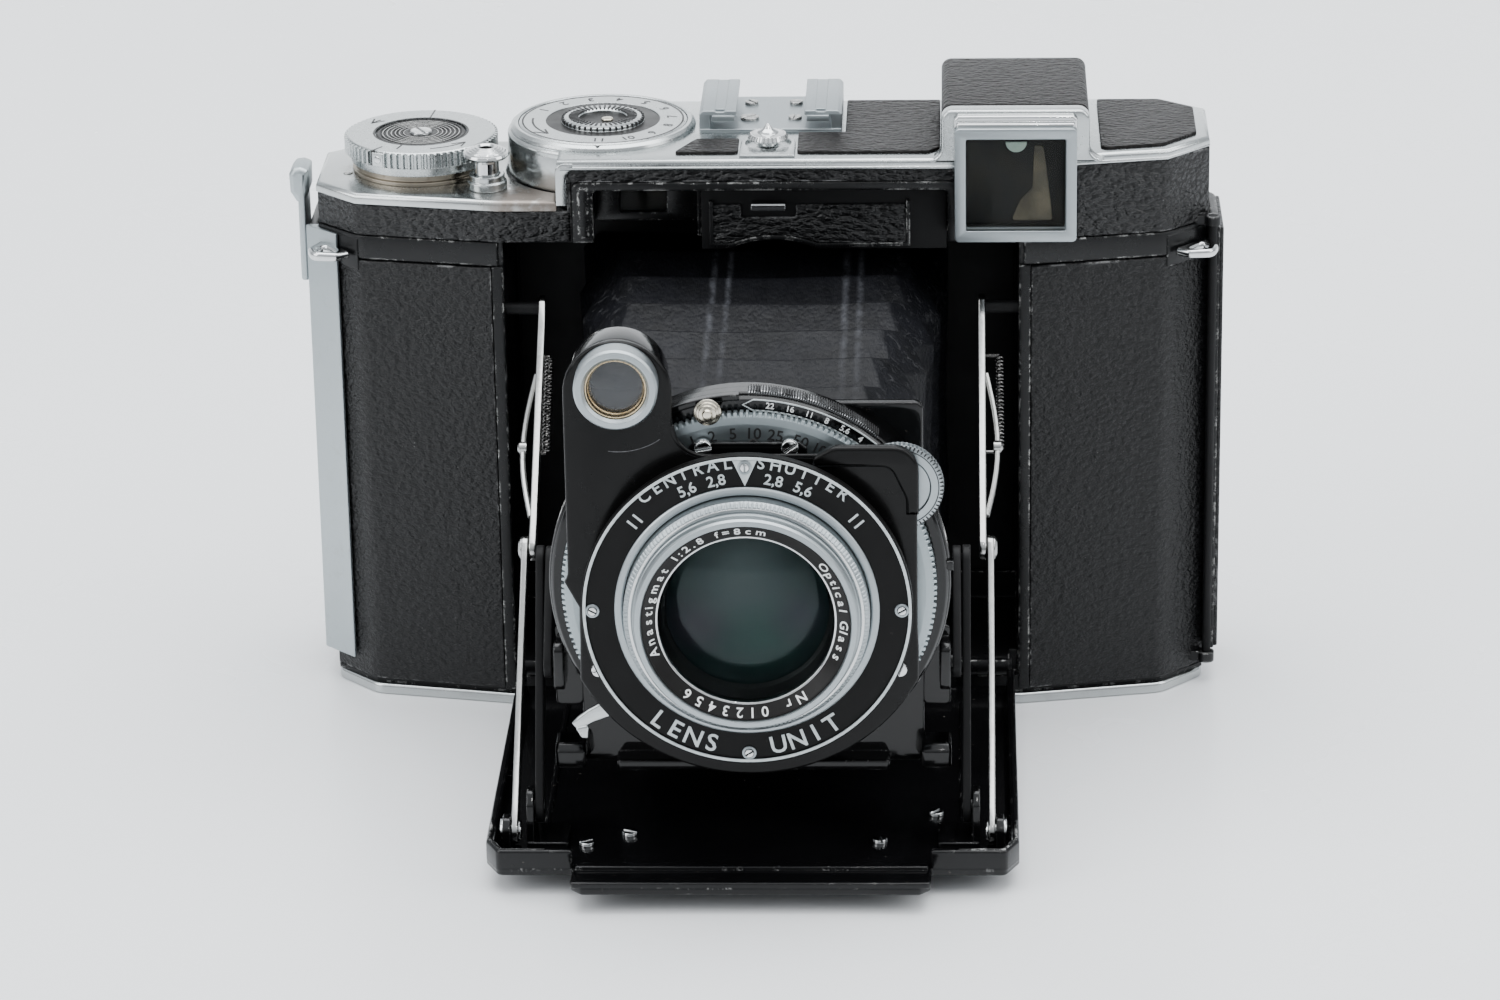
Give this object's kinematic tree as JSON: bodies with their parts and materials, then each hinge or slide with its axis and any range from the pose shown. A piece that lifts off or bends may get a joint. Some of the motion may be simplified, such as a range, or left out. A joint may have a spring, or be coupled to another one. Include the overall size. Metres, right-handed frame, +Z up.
{
  "type": "folding camera",
  "caption": "Folding roll-film camera, opened: drop-bed front door, strutted lens standard with bellows, coupled rangefinder arm, top winding knob and hinged back.",
  "frame": {"origin": "on the base plane, under the lens axis, in the plane of the body's front covering", "axes": "+X along the body (the viewer's right when facing the lens), +Y from the lens towards the back, +Z up"},
  "size_m": [0.1424, 0.1116, 0.0972],
  "materials": {
    "black_enamel": "gloss black enamel",
    "casing_paint": "semi-gloss black paint, worn at the edges",
    "leather": "fine grained black leather",
    "top_leather": "brown-black leather",
    "satin_chrome": "satin chrome with light wear",
    "bright_chrome": "bright chrome",
    "satin_aluminium": "satin, fine turned",
    "steel": "plain steel",
    "bush_steel": "plain steel",
    "faceplate_black": "satin black with bright rims",
    "lens_glass": "coated glass",
    "red_glass": "ruby window",
    "bellows_leather": "thin black leather, pleated",
    "spool_metal": "black lacquered"
  },
  "bodies": {
    "casing": {"casing": "casing_paint", "bottom_plate": "satin_chrome", "tripod_bush": "bush_steel", "front_leather": "leather", "band_leather": "leather", "recess_trim": "casing_paint", "window_glasses": "lens_glass", "top_wing": "satin_chrome", "top_plate": "satin_chrome", "top_leather": "top_leather", "finder_frame": "satin_chrome", "accessory_shoe": "satin_chrome", "shoe_screws": "steel", "strap_lugs": "satin_chrome", "film_gate": "casing_paint", "top_collars": "satin_chrome", "hinge_pins": "steel", "bellows": "bellows_leather"},
    "film_roller_left": {"film_roller_left": "steel"},
    "film_roller_right": {"film_roller_right": "steel"},
    "supply_spool": {"supply_spool": "spool_metal"},
    "takeup_spool": {"takeup_spool": "spool_metal"},
    "wind_knob": {"wind_knob": "satin_chrome", "knob_disc": "faceplate_black"},
    "counter_dial": {"counter_dial": "satin_chrome"},
    "shutter_button": {"shutter_button": "bright_chrome"},
    "door_button": {"door_button": "bright_chrome"},
    "door_catch": {"door_catch": "bright_chrome"},
    "front_door": {"door_shell": "black_enamel", "door_leather": "leather", "door_screws": "steel", "door_brackets": "black_enamel"},
    "carrier_lower": {"carrier_link_lower": "black_enamel"},
    "carrier_upper": {"carrier_link_upper": "black_enamel"},
    "strut_upper": {"strut_upper": "bright_chrome", "strut_springs": "steel"},
    "strut_lower": {"strut_lower": "bright_chrome"},
    "lens_standard": {"lens_board": "black_enamel", "cover_plate": "black_enamel", "rangefinder_housing": "black_enamel", "shutter_case": "black_enamel", "shutter_blades": "steel", "faceplate": "faceplate_black", "faceplate_screws": "steel", "rear_lens": "faceplate_black"},
    "front_cell": {"focus_ring": "satin_aluminium", "lens_bezel": "satin_aluminium", "front_lens": "lens_glass"},
    "aperture_ring": {"aperture_ring": "black_enamel"},
    "speed_ring": {"speed_ring": "satin_aluminium"},
    "focus_wheel": {"focus_wheel": "satin_aluminium"},
    "rangefinder_wedge": {"rangefinder_wedge": "lens_glass"},
    "release_lever": {"release_lever": "bright_chrome"},
    "back": {"back_cover": "casing_paint", "back_leather": "leather", "pressure_plate": "casing_paint", "red_window": "red_glass"},
    "window_cover": {"window_cover": "satin_chrome"},
    "back_latch": {"back_latch": "satin_chrome"}
  },
  "joints": [
    {"name": "door_fold", "type": "hinge", "parent": "casing", "child": "front_door", "pos_m": [0, -0.0004, 0.0069], "axis": [-1, 0, 0], "range_deg": [0, 90], "deforming": ["bellows"]},
    {"name": "carrier_lower_swing", "type": "hinge", "parent": "front_door", "child": "carrier_lower", "pos_m": [0, -0.0601, 0.0095], "axis": [-1, 0, 0], "range_deg": [0, 62.11]},
    {"name": "carrier_upper_swing", "type": "hinge", "parent": "carrier_lower", "child": "carrier_upper", "pos_m": [0, -0.0458, 0.0423], "axis": [-1, 0, 0], "range_deg": [-273.61, 0]},
    {"name": "standard_swing", "type": "hinge", "parent": "carrier_upper", "child": "lens_standard", "pos_m": [0, -0.0548, 0.0301], "axis": [-1, 0, 0], "range_deg": [0, 121.51]},
    {"name": "strut_upper_swing", "type": "hinge", "parent": "casing", "child": "strut_upper", "pos_m": [0, 0.0026, 0.0649], "axis": [-1, 0, 0], "range_deg": [-49.15, 0]},
    {"name": "strut_lower_swing", "type": "hinge", "parent": "front_door", "child": "strut_lower", "pos_m": [0, -0.062, 0.0065], "axis": [-1, 0, 0], "range_deg": [0, 39.24]},
    {"name": "wind_knob_turn", "type": "hinge", "parent": "casing", "child": "wind_knob", "pos_m": [-0.053, 0.018, 0.086], "axis": [0, 0, 1], "continuous": true},
    {"name": "takeup_spool_turn", "type": "hinge", "parent": "casing", "child": "takeup_spool", "pos_m": [-0.053, 0.018, 0.044], "axis": [0, 0, 1], "continuous": true},
    {"name": "supply_spool_turn", "type": "hinge", "parent": "casing", "child": "supply_spool", "pos_m": [0.053, 0.018, 0.044], "axis": [0, 0, 1], "continuous": true},
    {"name": "roller_left_turn", "type": "hinge", "parent": "casing", "child": "film_roller_left", "pos_m": [-0.0364, 0.0266, 0.044], "axis": [0, 0, 1], "continuous": true},
    {"name": "roller_right_turn", "type": "hinge", "parent": "casing", "child": "film_roller_right", "pos_m": [0.0364, 0.0266, 0.044], "axis": [0, 0, 1], "continuous": true},
    {"name": "counter_turn", "type": "hinge", "parent": "casing", "child": "counter_dial", "pos_m": [-0.0247, 0.018, 0.0896], "axis": [0, 0, 1], "continuous": true},
    {"name": "shutter_button_press", "type": "slide", "parent": "casing", "child": "shutter_button", "axis": [0, 0, -1], "range_m": [0, 0.002]},
    {"name": "door_button_press", "type": "slide", "parent": "casing", "child": "door_button", "axis": [0, 0, -1], "range_m": [0, 0.001]},
    {"name": "door_catch_slide", "type": "slide", "parent": "casing", "child": "door_catch", "axis": [0, 0, -1], "range_m": [0, 0.001]},
    {"name": "aperture_turn", "type": "hinge", "parent": "lens_standard", "child": "aperture_ring", "pos_m": [0, -0.0582, 0.0447], "axis": [0, -1, 0], "range_deg": [-20, 36]},
    {"name": "speed_turn", "type": "hinge", "parent": "lens_standard", "child": "speed_ring", "pos_m": [0, -0.0621, 0.0447], "axis": [0, -1, 0], "range_deg": [-60, 50]},
    {"name": "focus_wheel_turn", "type": "hinge", "parent": "lens_standard", "child": "focus_wheel", "pos_m": [0.0216, -0.0643, 0.0612], "axis": [0, -1, 0], "range_deg": [0, 330]},
    {"name": "front_cell_turn", "type": "hinge", "parent": "lens_standard", "child": "front_cell", "pos_m": [0, -0.0678, 0.0447], "axis": [0, -1, 0], "range_deg": [-101.32, 0]},
    {"name": "wedge_turn", "type": "hinge", "parent": "lens_standard", "child": "rangefinder_wedge", "pos_m": [-0.018, -0.068, 0.0776], "axis": [0, -1, 0], "range_deg": [0, 33.01]},
    {"name": "release_lever_turn", "type": "hinge", "parent": "lens_standard", "child": "release_lever", "pos_m": [-0.0132, -0.0641, 0.0286], "axis": [0, -1, 0], "range_deg": [-12, 0]},
    {"name": "back_open", "type": "hinge", "parent": "casing", "child": "back", "pos_m": [0.0692, 0.0092, 0.04], "axis": [0, 0, -1], "range_deg": [0, 105]},
    {"name": "window_cover_slide", "type": "slide", "parent": "back", "child": "window_cover", "axis": [1, 0, 0], "range_m": [0, 0.007]},
    {"name": "back_latch_slide", "type": "slide", "parent": "back", "child": "back_latch", "axis": [0, 0, 1], "range_m": [-0.004, 0]}
  ],
  "couplings": [
    {"joint": "carrier_lower_swing", "follows": "door_fold", "ratio": 0.69},
    {"joint": "carrier_upper_swing", "follows": "door_fold", "ratio": -3.04},
    {"joint": "standard_swing", "follows": "door_fold", "ratio": 1.35},
    {"joint": "strut_upper_swing", "follows": "door_fold", "ratio": -0.54603},
    {"joint": "strut_lower_swing", "follows": "door_fold", "ratio": 0.43585},
    {"joint": "takeup_spool_turn", "follows": "wind_knob_turn", "ratio": 1},
    {"joint": "supply_spool_turn", "follows": "wind_knob_turn", "ratio": 1},
    {"joint": "roller_left_turn", "follows": "wind_knob_turn", "ratio": 3.6},
    {"joint": "roller_right_turn", "follows": "wind_knob_turn", "ratio": 3.6},
    {"joint": "counter_turn", "follows": "wind_knob_turn", "ratio": 0.0725},
    {"joint": "door_catch_slide", "follows": "door_button_press", "ratio": 1},
    {"joint": "front_cell_turn", "follows": "focus_wheel_turn", "ratio": -0.307},
    {"joint": "wedge_turn", "follows": "focus_wheel_turn", "ratio": 0.1}
  ]
}
